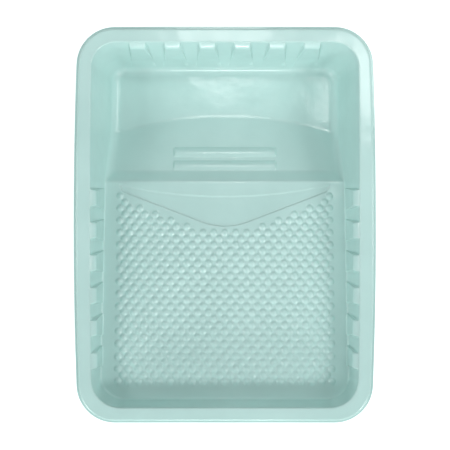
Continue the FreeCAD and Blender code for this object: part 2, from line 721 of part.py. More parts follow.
def reaches(edge):
    """How far out an edge lies, as the half width of the outline that it belongs to."""
    middle = edge.valueAt((edge.FirstParameter + edge.LastParameter) / 2)
    ends = size("{opening_well_end} - {opening_half_width}")
    return max(abs(middle.x), abs(middle.y) - ends)


flange_bottom = "{overall_height} - {skirt_depth}"
pad("flange", rim_outline("flange_plan", flange_bottom, "0"), "{sheet_thickness}")
pad("shoulder", rim_outline("shoulder_plan", flange_bottom, "{flange_width}"), "{skirt_depth}")
doc.recompute()
pocket(
    "under_rim",
    rim_outline("under_rim_plan", flange_bottom, "{flange_width} + {sheet_thickness}"),
    "{skirt_depth} - {sheet_thickness}", True,
)
lip_plan = sketch_in(rim, "lip_plan", "{overall_height} - {lip_depth}")
basin_outline(lip_plan, "{lip_depth}", "{sheet_thickness}")
pad("lip", lip_plan, "{lip_depth}")
doc.recompute()
opening_plan = sketch_in(rim, "opening_plan", "{overall_height}")
basin_outline(opening_plan, "{lip_depth}", "0")
pocket("opening", opening_plan, "{skirt_depth}", False)
rounding("lip_rounding", "{lip_radius}", "{overall_height}", True)
rounding("shoulder_rounding", "{shoulder_radius}", "{overall_height}", False)
rounding(
    "shoulder_inside", "{shoulder_radius} - {sheet_thickness}",
    "{overall_height} - {sheet_thickness}", False,
)
regions.append(rim)


# ---- Checks and export ----

doc.recompute()
for item in doc.Objects:
    assert "Invalid" not in item.State and "Error" not in item.State, f"{item.Label}: {item.State}"
for item in regions:
    assert not item.Shape.isNull() and item.Shape.isValid(), f"{item.Label} has a bad shape"
    assert len(item.Shape.Solids) == 1, f"{item.Label} is in {len(item.Shape.Solids)} pieces"
os.makedirs("parts", exist_ok=True)
for item in regions:
    item.Shape.exportStep(f"parts/{item.Label}.step")
    print(item.Label, round(item.Shape.Volume))
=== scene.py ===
import bpy
import math
import numpy as np
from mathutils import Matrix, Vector


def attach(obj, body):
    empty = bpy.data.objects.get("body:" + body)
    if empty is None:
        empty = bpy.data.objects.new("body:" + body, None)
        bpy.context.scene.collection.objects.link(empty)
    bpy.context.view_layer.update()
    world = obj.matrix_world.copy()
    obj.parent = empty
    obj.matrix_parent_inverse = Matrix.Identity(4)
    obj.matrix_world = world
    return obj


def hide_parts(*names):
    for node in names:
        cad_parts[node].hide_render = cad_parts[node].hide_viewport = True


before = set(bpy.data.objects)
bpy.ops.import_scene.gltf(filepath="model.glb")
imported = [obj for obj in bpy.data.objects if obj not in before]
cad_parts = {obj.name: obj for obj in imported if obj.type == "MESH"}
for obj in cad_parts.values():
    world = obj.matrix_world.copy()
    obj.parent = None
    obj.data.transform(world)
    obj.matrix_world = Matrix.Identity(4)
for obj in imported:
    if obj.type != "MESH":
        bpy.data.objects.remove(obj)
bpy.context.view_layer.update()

# The tray is drawn as one thin formed sheet in millimetres: closed rings of points go from the trimmed
# edge over the rim and down the walls, and a finer grid covers the floor and the bumpy ramp inside the
# last ring. The upper and the lower face of the sheet are built the same way with the same points, so
# the sheet is closed by joining them. It is then cut into the same regions as the CAD model.

MM = 0.001

# Sizes of the sheet, as in the CAD model. A depth is measured down from the top of the rim.
THICKNESS = 1.0
HEIGHT = 66.0
OUTER = dict(half_width=145.6, well_end=190.6, shallow_end=190.6, corner=37.0, shallow=37.0, side=4400.0)
OPENING = dict(half_width=129.4, well_end=174.9, shallow_end=175.3, corner=24.0, shallow=28.0, side=9500.0)
FLANGE, SKIRT_DEPTH, SHOULDER = 2.6, 4.6, 2.2
LIP_DEPTH, LIP_RADIUS = 1.5, 1.3
DRAFT, SHALLOW_DRAFT = math.tan(math.radians(9.0)), math.tan(math.radians(4.7))
WELL_FOOT, RAMP_FOOT, RIB_FOOT = 9.0, 2.5, 1.4
FLOOR_LINE, FLOOR_LINE_RADIUS = 114.9, 372.0
SLOPE = math.tan(math.radians(14.2))
STEP = math.tan(math.radians(37.8))
CREST_Y, CREST_Z = 45.0, 24.0
RAMP = math.tan(math.radians(4.8))
SET_BACK = math.tan(math.radians(37.8 / 2))
CREASE_Y = (CREST_Z - THICKNESS + CREST_Y * STEP - FLOOR_LINE * SLOPE) / (STEP - SLOPE)
RIB_TOP, RIB_FLARE, RIB_STAND = 15.2, math.tan(math.radians(5.5)), 5.0
RIB_DRAFT, RIB_EDGE, RIB_HOLLOW = math.tan(math.radians(2.5)), 2.4, 2.0
RIB_TOP_STAND, RIB_SLANT = 0.9, 3.4
END_RIB_PITCH, SIDE_RIB_PITCH, FIRST_SIDE_RIB = 33.7, 31.4, 26.0
END_RIBS = [(n - 2.5) * END_RIB_PITCH for n in range(6)]
SIDE_RIBS = [FIRST_SIDE_RIB - n * SIDE_RIB_PITCH for n in range(6)]
BARS, BAR_HALF_LENGTH, BAR_HALF_WIDTH, BAR_HEIGHT = (61.7, 76.0), 54.0, 5.3, 1.8
BUMP_PITCH, BUMP_CROWDING, BUMP_ROW = 11.035, 0.0035, 6.177
LAST_ROW, BUMP_ROWS, HALF_ROW = -156.05, 31, 10
BUMP_WIDTH, BUMP_HEIGHT, BUMP_REACH = 7.4, 1.5, 4.0
PANEL_ROW, PANEL_COLUMN, PANEL_SHIFT = 25, 3.5, 1.5

# The drain panel: straight slanted edges from its corners to a round tip, under a wide arc.
RECESS = 0.8
PANEL_CORNER, PANEL_SLANT = (105.0, 33.5), math.radians(20.95)
PANEL_TIP_Y, PANEL_TIP_RADIUS, PANEL_TIP_HALF = 64.0, 66.0, 23.6
PANEL_ARC_Y, PANEL_ARC_RADIUS = 519.4, 490.0
PANEL_SIDE, PANEL_SIDE_LENGTH = (-8.2, 4.0), 9.12

# Where one region of the sheet ends and the next begins.
WELL_CORNER_SEAM, SHALLOW_CORNER_SEAM = 150.9, -147.3
WELL_FLOOR_END, WELL_FLOOR_HALF_WIDTH = 154.0, 105.4
FLOOR_LINE_SEAM, CREASE_SEAM, CREST_SEAM = 0.8, 55.8, CREST_Y + 0.4
DECK_END, DECK_HALF_WIDTH = -163.0, 114.0
SHALLOW_END_HALF_WIDTH = 101.4


def smooth(low, high, x):
    """0 below `low`, 1 above `high`, and an even S between."""
    t = np.clip((x - low) / (high - low), 0.0, 1.0)
    return t * t * (3 - 2 * t)


def blend_max(a, b, width):
    """The larger of two heights, rounded where they cross."""
    h = np.maximum(width - np.abs(a - b), 0.0) / width
    return np.maximum(a, b) + h * h * width / 4


def blend_min(a, b, width):
    return -blend_max(-a, -b, width)


# ---- The floor inside the walls: well, front slope, step, ramp ----


def bar_height(x, y, inset):
    """How far the two bars stand out of the front slope."""
    radius = (BAR_HALF_WIDTH**2 + BAR_HEIGHT**2) / (2 * BAR_HEIGHT)
    rise = np.zeros_like(x)
    for place in BARS:
        across = np.abs(y - place)
        top = np.sqrt(np.maximum((radius - inset) ** 2 - across**2, 0.0)) - (radius - BAR_HEIGHT) + inset
        rise = np.maximum(rise, np.maximum(top, 0.0))
    ends = 1 - smooth(BAR_HALF_LENGTH - 2.2 - inset, BAR_HALF_LENGTH - inset, np.abs(x))
    return rise * ends


def panel_depth(x, y):
    """How far the smooth drain panel lies below the ramp: full inside its outline, none outside."""
    x = np.abs(x)
    past_x, past_y = x - PANEL_CORNER[0], y - PANEL_CORNER[1]
    slanted = (past_y - past_x * math.tan(PANEL_SLANT)) * math.cos(PANEL_SLANT)
    tip = PANEL_TIP_RADIUS - np.hypot(x, y - PANEL_TIP_Y)
    v_edge = np.where((x < PANEL_TIP_HALF) & (y < PANEL_TIP_Y), tip, slanted)
    top = np.hypot(x, y - PANEL_ARC_Y) - PANEL_ARC_RADIUS
    side = (past_x * PANEL_SIDE[0] + past_y * PANEL_SIDE[1]) / PANEL_SIDE_LENGTH
    return RECESS * smooth(0.0, 1.1, v_edge) * smooth(-0.4, 1.6, top) * smooth(0.0, 1.0, side)


def floor_height(x, y, inset=0.0):
    """The height of one face of the sheet inside the walls, without the bumps."""
    y = y + inset * SET_BACK
    line = FLOOR_LINE - FLOOR_LINE_RADIUS + np.sqrt(FLOOR_LINE_RADIUS**2 - x**2)
    slope = THICKNESS + (line - y) * SLOPE * (FLOOR_LINE - CREASE_Y) / (line - CREASE_Y)
    ramp = CREST_Z + (CREST_Y - y) * RAMP
    step = CREST_Z + (CREST_Y - y) * STEP
    well = blend_max(slope, np.full_like(x, THICKNESS), 0.5) + bar_height(x, y, inset)
    front = blend_max(well, step, 0.9)
    return blend_min(front, ramp, 1.3) - panel_depth(x, y) * (y < CREST_Y) - inset


def bump_places():
    """The bumps' centres: every other row is shifted by half a pitch, and rows leave the panel clear."""
    places = []
    for row in range(BUMP_ROWS):
        half = HALF_ROW - (row % 2) / 2
        beside_panel = min(PANEL_COLUMN + PANEL_SHIFT * (row - PANEL_ROW), HALF_ROW)
        first = beside_panel if row >= PANEL_ROW else 0
        for n in (k - half for k in range(int(2 * half) + 1)):
            if abs(n) >= first:
                places.append((BUMP_PITCH * n - BUMP_CROWDING * n**3, LAST_ROW + BUMP_ROW * row))
    return places


def bump_height(x, y, inset):
    """How far the bumps stand out of the ramp: round caps with a small hollow round their feet."""
    radius = ((BUMP_WIDTH / 2) ** 2 + BUMP_HEIGHT**2) / (2 * BUMP_HEIGHT)
    sunk = radius - BUMP_HEIGHT - inset
    rise = np.zeros_like(x)
    middle_row = x[len(x) // 2]
    for cx, cy in bump_places():
        r0, r1 = np.searchsorted(y[:, 0], (cy - BUMP_REACH, cy + BUMP_REACH))
        c0, c1 = np.searchsorted(middle_row, (cx - BUMP_REACH, cx + BUMP_REACH))
        away = np.hypot(x[r0:r1, c0:c1] - cx, y[r0:r1, c0:c1] - cy)
        cap = np.sqrt(np.maximum((radius - inset) ** 2 - away**2, 0.04)) - sunk
        cap = np.where(away < radius - inset, cap, -1.0)
        part = rise[r0:r1, c0:c1]
        np.maximum(part, blend_max(cap, np.zeros_like(cap), 0.55), out=part)
    return rise


# ---- Stations round the walls ----
# A station is one point of every ring. PLAIN stations keep their place along the wall, GAP stations
# share out the space between two ribs, and the others follow a rib's flank and top. A place is X along
# an end wall, Y along a side wall, and 0 to 1 round a corner.

PLAIN, GAP, HOLLOW, ROUND, TOP = range(5)
RIGHT, WELL_RIGHT, WELL_END, WELL_LEFT, LEFT, SHALLOW_LEFT, SHALLOW_END, SHALLOW_RIGHT = range(8)


def plain_stations(low, high, spacing):
    """Evenly spread stations from one place to another, both included."""
    count = max(1, round((high - low) / spacing))
    return [(PLAIN, low + (high - low) * k / count, 0.0, 0.0, 0.0) for k in range(count + 1)]


def rib_stations(centres, half_gap):
    """Stations over a row of ribs, from the middle of one gap to the next."""
    made = []
    for centre in sorted(centres):
        flank = [(GAP, g, centre, -1.0, half_gap) for g in (1.0, 0.75, 0.5, 0.25)]
        flank += [(HOLLOW, t, centre, -1.0, half_gap) for t in (0.0, 0.33, 0.66, 1.0)]
        flank += [(ROUND, t, centre, -1.0, half_gap) for t in (0.0, 0.3, 0.55, 0.8, 1.0)]
        top = [(TOP, t, centre, 1.0, half_gap) for t in (-0.66, -0.33, 0.0, 0.33, 0.66)]
        far_flank = [(stage, t, centre, 1.0, half_gap) for stage, t, _, _, _ in flank[::-1]]
        made += flank + top + far_flank[:-1]
    return made


def corner_centre(shape, at_well):
    """The centre of a corner that is tangent to its end and to the bowed side, and where it starts."""
    top, bottom, big = shape["well_end"], -shape["shallow_end"], shape["side"]
    radius = shape["corner"] if at_well else shape["shallow"]
    centre_y = top - radius if at_well else bottom + radius
    off_middle = abs(centre_y - (top + bottom) / 2)
    run = math.sqrt((big - radius) ** 2 - off_middle**2)
    return shape["half_width"] - big + run, centre_y, math.atan2(off_middle, run)


def all_stations():
    """Every station once round the tray, anticlockwise from above, as columns of a table."""
    half = SIDE_RIB_PITCH / 2
    low, high = min(SIDE_RIBS) - half, max(SIDE_RIBS) + half
    side = plain_stations(SHALLOW_CORNER_SEAM, low, 1.2)[:-1] + rib_stations(SIDE_RIBS, half)
    side += plain_stations(high, 66.0, 0.6)[:-1] + plain_stations(66.0, WELL_CORNER_SEAM, 2.4)
    half = END_RIB_PITCH / 2
    low, high = min(END_RIBS) - half, max(END_RIBS) + half
    well, shallow = corner_centre(OPENING, True)[0], corner_centre(OPENING, False)[0]
    end = plain_stations(-well, low, 1.4)[:-1] + rib_stations(END_RIBS, half)
    end += plain_stations(high, well, 1.4)
    corner = plain_stations(0.0, 1.0, 1 / 20)
    order = (
        (RIGHT, side), (WELL_RIGHT, corner), (WELL_END, end[::-1]), (WELL_LEFT, corner),
        (LEFT, side[::-1]), (SHALLOW_LEFT, corner), (SHALLOW_END, plain_stations(-shallow, shallow, 2.9)),
        (SHALLOW_RIGHT, corner),
    )
    return np.array([(wall, *station) for wall, stations in order for station in stations[:-1]]).T


WALL, STAGE, VALUE, CENTRE, SIGN, GAP_WIDTH = all_stations()
ON_SIDE = (WALL == RIGHT) | (WALL == LEFT)
ON_END = (WALL == WELL_END) | (WALL == SHALLOW_END)
AT_SHALLOW = (WALL == SHALLOW_LEFT) | (WALL == SHALLOW_END) | (WALL == SHALLOW_RIGHT)
TURNED = np.where((WALL == LEFT) | (WALL == WELL_LEFT) | (WALL == SHALLOW_LEFT), -1.0, 1.0)


def on_outline(shape, place, inward=0.0, shift=0.0):
    """Points of an outline at the stations' places, moved inwards, and the shallow end moved back."""
    top, bottom = shape["well_end"], -shape["shallow_end"]
    big, middle = shape["side"], (top + bottom) / 2
    side_x = shape["half_width"] - big
    x, y = np.zeros_like(WALL), np.zeros_like(WALL)
    across = np.sqrt(big**2 - (np.where(ON_SIDE, place, 0.0) - middle) ** 2)
    reach = (big - inward) / big
    x = np.where(ON_SIDE, TURNED * (side_x + across * reach), x)
    y = np.where(ON_SIDE, middle + (place - middle) * reach, y)
    ends = np.where(WALL == WELL_END, top - inward, bottom + inward)
    x, y = np.where(ON_END, place, x), np.where(ON_END, ends, y)
    for walls, radius, end in (
        ((WELL_RIGHT, WELL_LEFT), shape["corner"], top),
        ((SHALLOW_LEFT, SHALLOW_RIGHT), shape["shallow"], bottom),
    ):
        centre_x, centre_y, lean = corner_centre(shape, end > 0)
        for wall in walls:
            here = WALL == wall
            rising = wall in (WELL_RIGHT, SHALLOW_LEFT)
            part = place if rising else 1.0 - place
            angle = lean + (math.pi / 2 - lean) * part
            r = radius - inward
            x = np.where(here, TURNED * (centre_x + r * np.cos(angle)), x)
            y = np.where(here, centre_y + math.copysign(1, end) * r * np.sin(angle), y)
    return x, np.where(AT_SHALLOW, y - shift, y)


def rescale(place, old, new):
    """The same places on another outline, whose straight parts are longer or shorter."""
    def limits(shape):
        low = -shape["shallow_end"] + shape["shallow"]
        return low, shape["well_end"] - shape["corner"]

    def end(shape):
        return np.where(WALL == WELL_END, corner_centre(shape, True)[0], corner_centre(shape, False)[0])

    (a, b), (c, d) = limits(old), limits(new)
    moved = np.where(ON_SIDE, c + (place - a) * (d - c) / (b - a), place)
    return np.where(ON_END, place * end(new) / end(old), moved)


def along_wall(depth, stand, inset):
    """Where each station lies along its wall at a depth, and its share of a rib's stand."""
    half = RIB_TOP / 2 - inset + (depth - LIP_DEPTH) * RIB_FLARE
    hollow, edge = RIB_HOLLOW + inset, RIB_EDGE - inset
    fit = np.clip(stand / (hollow + edge), 0.0, 1.0)
    hollow, edge = hollow * fit, edge * fit
    turn = VALUE * math.pi / 2
    high = np.maximum(stand, 1e-6)
    out = np.select(
        [STAGE == GAP, STAGE == HOLLOW, STAGE == ROUND, STAGE == TOP],
        [
            half + hollow + VALUE * (GAP_WIDTH - half - hollow),
            half + hollow * (1 - np.sin(turn)),
            half - edge * (1 - np.cos(turn)),
            VALUE * (half - edge),
        ],
    )
    share = np.select(
        [STAGE == HOLLOW, STAGE == ROUND, STAGE == TOP],
        [hollow / high * (1 - np.cos(turn)), 1 - edge / high * (1 - np.sin(turn)), 1.0],
    )
    return np.where(STAGE == PLAIN, VALUE, CENTRE + SIGN * out), share


# ---- Rings ----


def arc_points(count, start=0.0, end=1.0):
    return [math.pi / 2 * (start + (end - start) * k / (count - 1)) for k in range(count)]


def rib_line(depth, inset):
    """How far in a rib's front lies at a depth, or the wall's face where the rib has run out."""
    front = RIB_STAND - inset + (depth - LIP_DEPTH) * RIB_DRAFT
    slant = (RIB_STAND - RIB_TOP_STAND) / RIB_SLANT
    top = RIB_TOP_STAND - inset + (depth - LIP_DEPTH - inset) * slant
    return blend_max(blend_min(top, front, 2.6), depth * DRAFT - inset, 0.3)


RIB_TOP_RINGS = (0.0, 0.35, 0.8, 1.4, 2.0, 2.6, 3.2, 3.8, 4.5, 5.4)
VALUE_AT_LIP, _ = along_wall(LIP_DEPTH, np.zeros_like(WALL), 0.0)


def foot(inset):
    """Depths at which the wall, and a rib's front, would meet the floor at each station."""
    depths = []
    for on_rib in (False, True):
        depth = np.full_like(WALL, 40.0)
        for _ in range(12):
            stand = rib_line(depth, inset) - (depth * DRAFT - inset)
            place, _ = along_wall(depth, stand, inset)
            inward = depth * DRAFT - inset + (stand if on_rib else 0.0)
            x, y = on_outline(OPENING, place, inward, depth * (DRAFT - SHALLOW_DRAFT))
            depth = HEIGHT - floor_height(x, y, inset)
        depths.append(depth)
    return depths


def rim_rings(inset):
    """The trimmed flange, the skirt, the rounded shoulder, the flat top and the inner lip."""
    side = 1.0 - 2.0 * inset
    level = HEIGHT - SKIRT_DEPTH + THICKNESS / 2
    profile = [(p, level + side * z) for p, z in ((0.0, 0.22), (0.08, 0.42), (0.28, 0.5), (1.0, 0.5))]
    corner, bend = level + 0.5 + 0.8, 0.8 + inset
    profile += [(1.8 + bend * math.sin(t), corner - bend * math.cos(t)) for t in arc_points(5)]
    turn = SHOULDER - inset
    top = FLANGE + SHOULDER
    shoulder = [(top - turn * math.cos(t), HEIGHT - SHOULDER + turn * math.sin(t)) for t in arc_points(8)]
    profile += [(FLANGE + inset, corner + 0.25)] + shoulder
    rings = []
    for pulled_in, z in profile:
        place = rescale(VALUE_AT_LIP, OPENING, OUTER)
        x, y = on_outline(OUTER, place, pulled_in)
        rings.append((x, y, np.full_like(x, z)))
    x0, y0, z0 = rings[-1]
    lip = LIP_DEPTH * DRAFT - LIP_RADIUS
    x1, y1 = on_outline(OPENING, VALUE_AT_LIP, lip)
    for t in (0.12, 0.5, 0.88):
        rings.append((x0 + (x1 - x0) * t, y0 + (y1 - y0) * t, z0))
    turn = LIP_RADIUS - inset
    for t in arc_points(7):
        x, y = on_outline(OPENING, VALUE_AT_LIP, lip + turn * math.sin(t))
        rings.append((x, y, np.full_like(x, HEIGHT - LIP_RADIUS + turn * math.cos(t))))
    return rings


def wall_rings(inset):
    """From the lip down the walls and ribs, round their feet, and in to the edge of the floor's grid."""
    rings = []
    wall_foot, rib_foot = foot(inset)

    def add(wall_depth, rib_depth, rib_inward):
        wall_inward = wall_depth * DRAFT - inset
        place, share = along_wall(rib_depth, rib_inward - wall_inward, inset)
        depth = wall_depth + share * (rib_depth - wall_depth)
        inward = wall_inward + share * (rib_inward - wall_inward)
        x, y = on_outline(OPENING, place, inward, depth * (DRAFT - SHALLOW_DRAFT))
        rings.append((x, y, HEIGHT - depth))

    full = np.ones_like(WALL)
    for below in RIB_TOP_RINGS:
        level = full * (LIP_DEPTH + below)
        add(level, level, rib_line(level, inset))

    in_well = smooth(44.0, 56.0, rings[-1][1])
    wall_radius = RAMP_FOOT + (WELL_FOOT - RAMP_FOOT) * in_well + inset
    stand_at_foot = RIB_STAND - inset + (rib_foot - LIP_DEPTH) * RIB_DRAFT - (rib_foot * DRAFT - inset)
    still_a_rib = smooth(-0.2, 1.0, stand_at_foot)
    rib_radius = wall_radius + (RIB_FOOT + inset - wall_radius) * still_a_rib
    rib_slope = DRAFT + (RIB_DRAFT - DRAFT) * still_a_rib

    def rounding(depth, inward, slope, radius):
        """Start and turn of the rounding where a face meets the floor."""
        def ground(step):
            x, y = on_outline(OPENING, places, inward + step, depth * (DRAFT - SHALLOW_DRAFT))
            return floor_height(x, y, inset)
        rise = (ground(3.0) - ground(0.0)) / 3.0
        lean, climb = np.arctan(slope), np.arctan(rise)
        turn = math.pi / 2 - lean + climb
        reach = radius * np.tan(turn / 2)
        return lean, turn, reach

    places, _ = along_wall(rib_foot, np.maximum(stand_at_foot, 0.0), inset)
    faces = []
    for depth, inward, slope, radius in (
        (wall_foot, wall_foot * DRAFT - inset, np.full_like(WALL, DRAFT), wall_radius),
        (rib_foot, rib_line(rib_foot, inset), rib_slope, rib_radius),
    ):
        lean, turn, reach = rounding(depth, inward, slope, radius)
        faces.append((depth, inward, lean, turn, reach, radius))

    def on_face(face, distance_up=None, part=None):
        """Inward distance and depth of a point up a face, or part of the way round its rounding."""
        depth, inward, lean, turn, reach, radius = face
        up = reach if distance_up is None else distance_up
        a_in, a_depth = inward - up * np.sin(lean), depth - up * np.cos(lean)
        if part is None:
            return a_in, a_depth
        angle = turn * part
        along, over = radius * np.sin(angle), radius * (1 - np.cos(angle))
        return (
            a_in + along * np.sin(lean) + over * np.cos(lean),
            a_depth + along * np.cos(lean) - over * np.sin(lean),
        )

    wall_start, rib_start = on_face(faces[0])[1], on_face(faces[1])[1]
    top = LIP_DEPTH + RIB_TOP_RINGS[-1]
    for k in range(1, 15):
        t = k / 15
        rib_depth = top + (rib_start - top) * t
        add(top + (wall_start - top) * t, rib_depth, rib_line(rib_depth, inset))
    for k in range(10):
        wall_in, wall_depth = on_face(faces[0], part=k / 9)
        rib_in, rib_depth = on_face(faces[1], part=k / 9)
        place, share = along_wall(rib_foot, np.maximum(stand_at_foot, 0.05), inset)
        depth = wall_depth + share * (rib_depth - wall_depth)
        inward = wall_in + share * (rib_in - wall_in)
        x, y = on_outline(OPENING, place, inward, depth * (DRAFT - SHALLOW_DRAFT))
        rings.append((x, y, HEIGHT - depth))
    x0, y0, z0 = rings[-1]
    x1, y1 = grid_edge(places, 0.8)
    for t in (0.3, 0.65, 1.0):
        x, y = x0 + (x1 - x0) * t, y0 + (y1 - y0) * t
        ease = smooth(0.0, 0.65, np.full_like(x, t))
        drop = (z0 - floor_height(x0, y0, inset)) * (1 - ease)
        rings.append((x, y, floor_height(x, y, inset) + drop))
    return rings


# ---- The grid over the floor and the ramp ----

GRID_WELL_END, GRID_SHALLOW_END = 155.5, -166.0
GRID_WELL_CORNER, GRID_SHALLOW_CORNER = 6.0, 9.0
GRID_HALF_WIDTH, GRID_NARROWING = 110.3, 3.8


def grid_half_width(y):
    """Half the width of the grid at a place along the tray, with rounded corners."""
    width = GRID_HALF_WIDTH - GRID_NARROWING * smooth(46.0, 80.0, y)
    for end, radius in ((GRID_WELL_END, GRID_WELL_CORNER), (GRID_SHALLOW_END, GRID_SHALLOW_CORNER)):
        past = np.clip(radius - np.abs(end - y), 0.0, radius)
        width = width - radius + np.sqrt(radius**2 - past**2)
    return width


def grid_edge(places, outside):
    """Points just outside the grid's edge, one to a station."""
    shape = (
        ((WELL_RIGHT, WELL_LEFT), GRID_WELL_END, GRID_WELL_CORNER),
        ((SHALLOW_LEFT, SHALLOW_RIGHT), GRID_SHALLOW_END, GRID_SHALLOW_CORNER),
    )
    y = np.clip(places, GRID_SHALLOW_END + GRID_SHALLOW_CORNER, GRID_WELL_END - GRID_WELL_CORNER)
    x = np.where(ON_SIDE, TURNED * (grid_half_width(y) + outside), 0.0)
    for end_wall, (_, end, radius) in zip((WELL_END, SHALLOW_END), shape):
        limit = grid_half_width(np.array(end))
        here = WALL == end_wall
        x = np.where(here, np.clip(places, -limit, limit), x)
        y = np.where(here, end + math.copysign(outside, end), y)
    for walls, end, radius in shape:
        centre_y = end - math.copysign(radius, end)
        centre_x = float(grid_half_width(np.array(centre_y))) - radius
        for wall in walls:
            here = WALL == wall
            part = VALUE if wall in (WELL_RIGHT, SHALLOW_LEFT) else 1 - VALUE
            angle = math.pi / 2 * part
            x = np.where(here, TURNED * (centre_x + (radius + outside) * np.cos(angle)), x)
            y = np.where(here, centre_y + math.copysign(radius + outside, end) * np.sin(angle), y)
    return x, y


def grid_plan():
    """Columns follow the bumps' spacing, and rows are closer where the floor bends."""
    n = np.linspace(-10.35, 10.35, 415)
    columns = BUMP_PITCH * n - BUMP_CROWDING * n**3
    columns = columns / columns[-1]
    turn = np.linspace(math.pi / 2, 0.0, 9)
    low = GRID_SHALLOW_END + GRID_SHALLOW_CORNER * (1 - np.sin(turn))
    ramp = np.arange(LAST_ROW - 0.56, 41.8, BUMP_ROW / 11)
    bend = np.arange(42.1, 63.0, 0.45)
    bars = np.arange(63.4, 84.0, 0.6)
    well = np.linspace(84.6, GRID_WELL_END - GRID_WELL_CORNER, 42)
    high = GRID_WELL_END - GRID_WELL_CORNER * (1 - np.sin(turn[::-1]))
    rows = np.concatenate((low[low < ramp[0] - 0.1], ramp, bend, bars, well, high[1:]))
    y = np.repeat(rows[:, None], len(columns), axis=1)
    x = grid_half_width(rows)[:, None] * columns[None, :]
    return x, y


def zipper(outer, inner, points):
    """Triangles between two closed loops of points that run the same way, the shorter diagonal first."""
    near = np.argmin(np.hypot(*(points[inner, :2] - points[outer[0], :2]).T))
    inner = np.roll(inner, -near)
    faces, i, j = [], 0, 0
    while i < len(outer) or j < len(inner):
        a, b = outer[i % len(outer)], inner[j % len(inner)]
        next_a, next_b = outer[(i + 1) % len(outer)], inner[(j + 1) % len(inner)]
        skip_a = math.dist(points[next_a, :2], points[b, :2])
        skip_b = math.dist(points[a, :2], points[next_b, :2])
        if j >= len(inner) or (i < len(outer) and skip_a <= skip_b):
            faces.append((a, next_a, b))
            i += 1
        else:
            faces.append((a, next_b, b))
            j += 1
    return faces


def sheet_points(inset):
    """All points of one face of the sheet, the number of rings, and the grid's shape."""
    rings = rim_rings(inset) + wall_rings(inset)
    x, y = grid_plan()
    z = floor_height(x, y, inset) + bump_height(x, y, inset)
    points = [np.stack(ring, axis=1) for ring in rings] + [np.stack((x, y, z), axis=2).reshape(-1, 3)]
    return np.concatenate(points), len(rings), x.shape


RIM_RINGS = len(rim_rings(0.0)) + 1
upper, ring_count, (grid_rows, grid_columns) = sheet_points(0.0)
lower, _, _ = sheet_points(THICKNESS)
count = len(upper)
stations = len(WALL)


def sheet_faces():
    """Quads and triangles of the upper face, each with the ring that it starts from (-1 in the grid)."""
    ring, k = np.meshgrid(np.arange(ring_count - 1), np.arange(stations), indexing="ij")
    a, b = ring * stations + k, ring * stations + (k + 1) % stations
    quads = np.stack((a, b, b + stations, a + stations), axis=2).reshape(-1, 4)
    starts = np.repeat(np.arange(ring_count - 1), stations)
    first = ring_count * stations
    row, column = np.meshgrid(np.arange(grid_rows - 1), np.arange(grid_columns - 1), indexing="ij")
    c = first + row * grid_columns + column
    cells = np.stack((c, c + 1, c + 1 + grid_columns, c + grid_columns), axis=2).reshape(-1, 4)
    index = first + np.arange(grid_rows * grid_columns).reshape(grid_rows, grid_columns)
    edge = np.concatenate((index[:, -1], index[-1, -2::-1], index[-2::-1, 0], index[0, 1:-1]))
    last_ring = (ring_count - 1) * stations + np.arange(stations)
    joint = [(a, b, c, c) for a, b, c in zipper(last_ring, edge, upper)]
    faces = np.concatenate((quads, np.array(joint), cells))
    starts = np.concatenate((starts, np.full(len(joint) + len(cells), -1)))
    return faces, starts


faces, starts = sheet_faces()


# ---- Cutting the sheet into its regions ----

REGIONS = (
    "rim", "well_end_wall", "well_side_wall_left", "well_side_wall_right", "well_corner_left",
    "well_corner_right", "well_floor", "well_front_slope", "ramp_step", "drain_panel", "ramp_deck",
    "ramp_side_wall_left", "ramp_side_wall_right", "shallow_corner_left", "shallow_corner_right",
    "shallow_end_wall",
)


def region_numbers():
    """The region of each face, by where its middle lies."""
    x, y = upper[faces, 0].mean(axis=1), upper[faces, 1].mean(axis=1)
    wide, right = np.abs(x), x > 0
    line = FLOOR_LINE - FLOOR_LINE_RADIUS + np.sqrt(FLOOR_LINE_RADIUS**2 - x**2)
    in_well = wide < WELL_FLOOR_HALF_WIDTH
    on_deck = (wide < DECK_HALF_WIDTH) & (y > DECK_END)
    number = {name: k for k, name in enumerate(REGIONS)}

    def sided(name):
        return np.where(right, number[name + "_right"], number[name + "_left"])

    return np.select(
        [
            (starts >= 0) & (starts < RIM_RINGS - 1),
            in_well & (y > WELL_FLOOR_END),
            in_well & (y > line + FLOOR_LINE_SEAM),
            in_well & (y > CREASE_SEAM),
            in_well & (y > CREST_SEAM),
            y > WELL_CORNER_SEAM,
            y > CREST_SEAM,
            on_deck & (panel_depth(x, y) > RECESS / 2),
            on_deck,
            y > SHALLOW_CORNER_SEAM,
            wide < SHALLOW_END_HALF_WIDTH,
        ],
        [
            number["rim"], number["well_end_wall"], number["well_floor"], number["well_front_slope"],
            number["ramp_step"], sided("well_corner"), sided("well_side_wall"), number["drain_panel"],
            number["ramp_deck"], sided("ramp_side_wall"), number["shallow_end_wall"],
        ],
        sided("shallow_corner"),
    )


def point_normals():
    """Smooth normals of the closed sheet, shared by the regions so that no seam shows."""
    outer = np.arange(stations)
    following = np.roll(outer, -1)
    edge = np.stack((outer + count, following + count, following, outer), axis=1)
    every = np.concatenate((faces, faces[:, ::-1] + count, edge))
    points = np.concatenate((upper, lower))
    across = np.cross(points[every[:, 2]] - points[every[:, 0]], points[every[:, 3]] - points[every[:, 1]])
    flat = every[:, 2] == every[:, 3]
    side = points[every[:, 1]] - points[every[:, 0]]
    across[flat] = np.cross(side, points[every[:, 2]] - points[every[:, 0]])[flat]
    normals = np.zeros_like(points)
    for corner in range(4):
        np.add.at(normals, every[:, corner], across)
    return normals / np.maximum(np.linalg.norm(normals, axis=1, keepdims=True), 1e-12)


